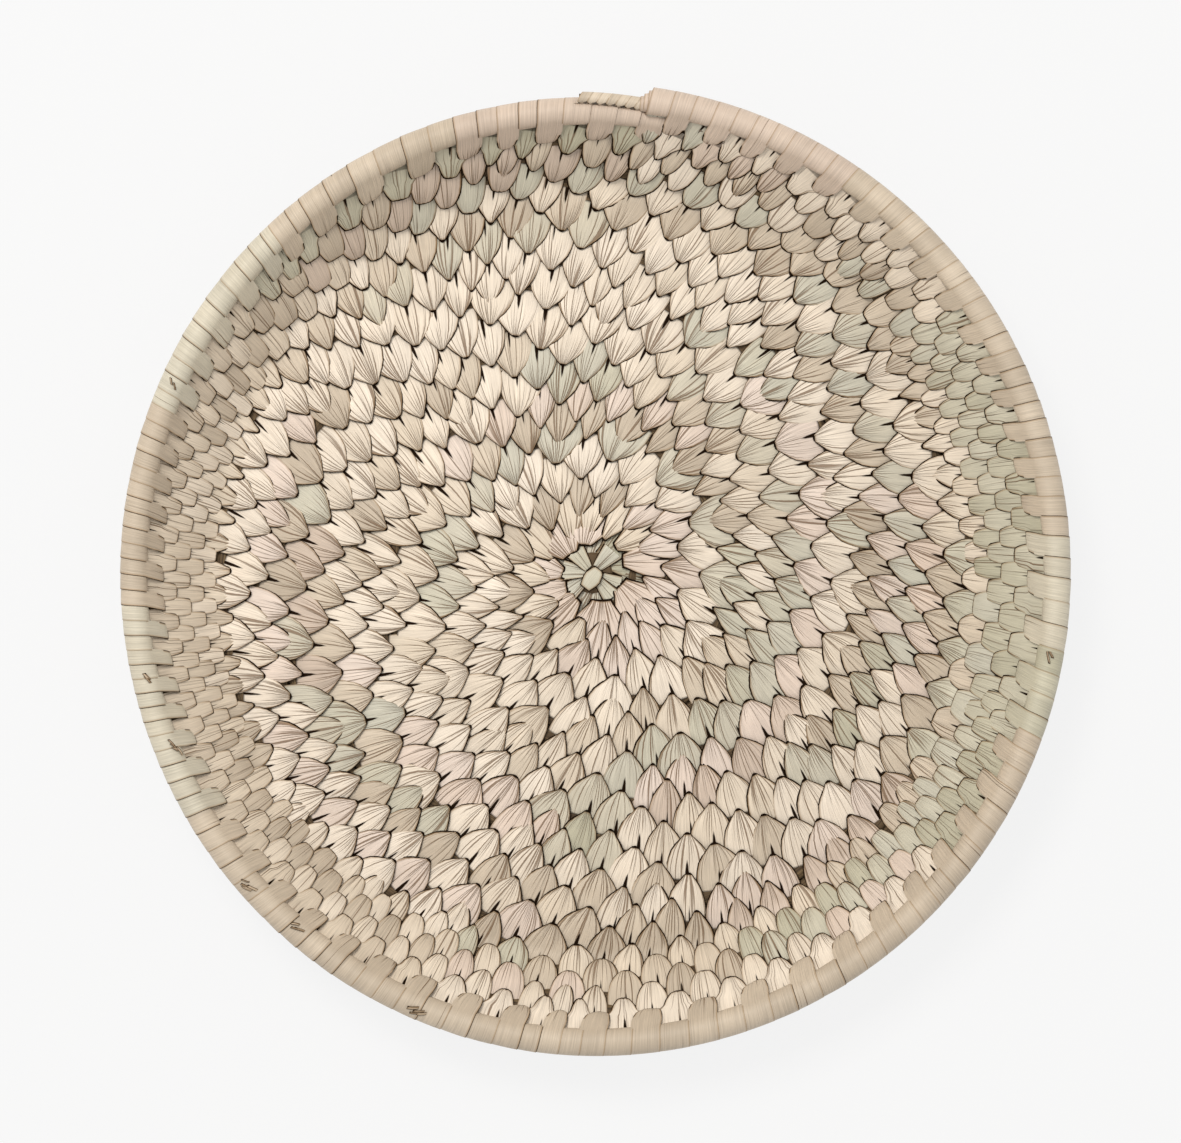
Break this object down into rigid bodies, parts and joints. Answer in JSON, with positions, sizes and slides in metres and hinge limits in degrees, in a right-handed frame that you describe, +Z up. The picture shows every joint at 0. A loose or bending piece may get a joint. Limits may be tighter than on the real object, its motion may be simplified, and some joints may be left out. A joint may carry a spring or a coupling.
{
  "type": "coiled basket tray",
  "caption": "Shallow round open basket tray of one coiled leaf-rib bundle, with a flared wall and a strip-bound rim, for bread, fruit or wall display",
  "frame": {"origin": "on the ground plane under the centre knot, at the middle of the flat base", "axes": "+Z up out of the open mouth; the rim's lapped end lies at 82 degrees counter-clockwise from +X, near +Y, as seen from above"},
  "size_m": [0.3976, 0.4036, 0.0479],
  "materials": {
    "leaf_ribs": "matte",
    "leaf_cream": "satin",
    "leaf_green": "satin",
    "leaf_pink": "satin"
  },
  "bodies": {
    "root": {"centre_knot": "leaf_green", "floor_coil": "leaf_ribs", "wall_coil": "leaf_ribs", "rim_core": "leaf_ribs", "rim_strip_01": "leaf_pink", "rim_strip_02": "leaf_cream", "rim_strip_03": "leaf_green", "rim_strip_04": "leaf_cream", "rim_strip_05": "leaf_green", "rim_strip_06": "leaf_cream", "rim_strip_07": "leaf_cream", "rim_strip_08": "leaf_cream", "rim_strip_09": "leaf_cream", "rim_strip_10": "leaf_cream", "rim_strip_11": "leaf_green", "rim_strip_12": "leaf_cream", "rim_strip_13": "leaf_cream", "rim_strip_14": "leaf_pink", "lap_binding": "leaf_cream"}
  },
  "joints": []
}
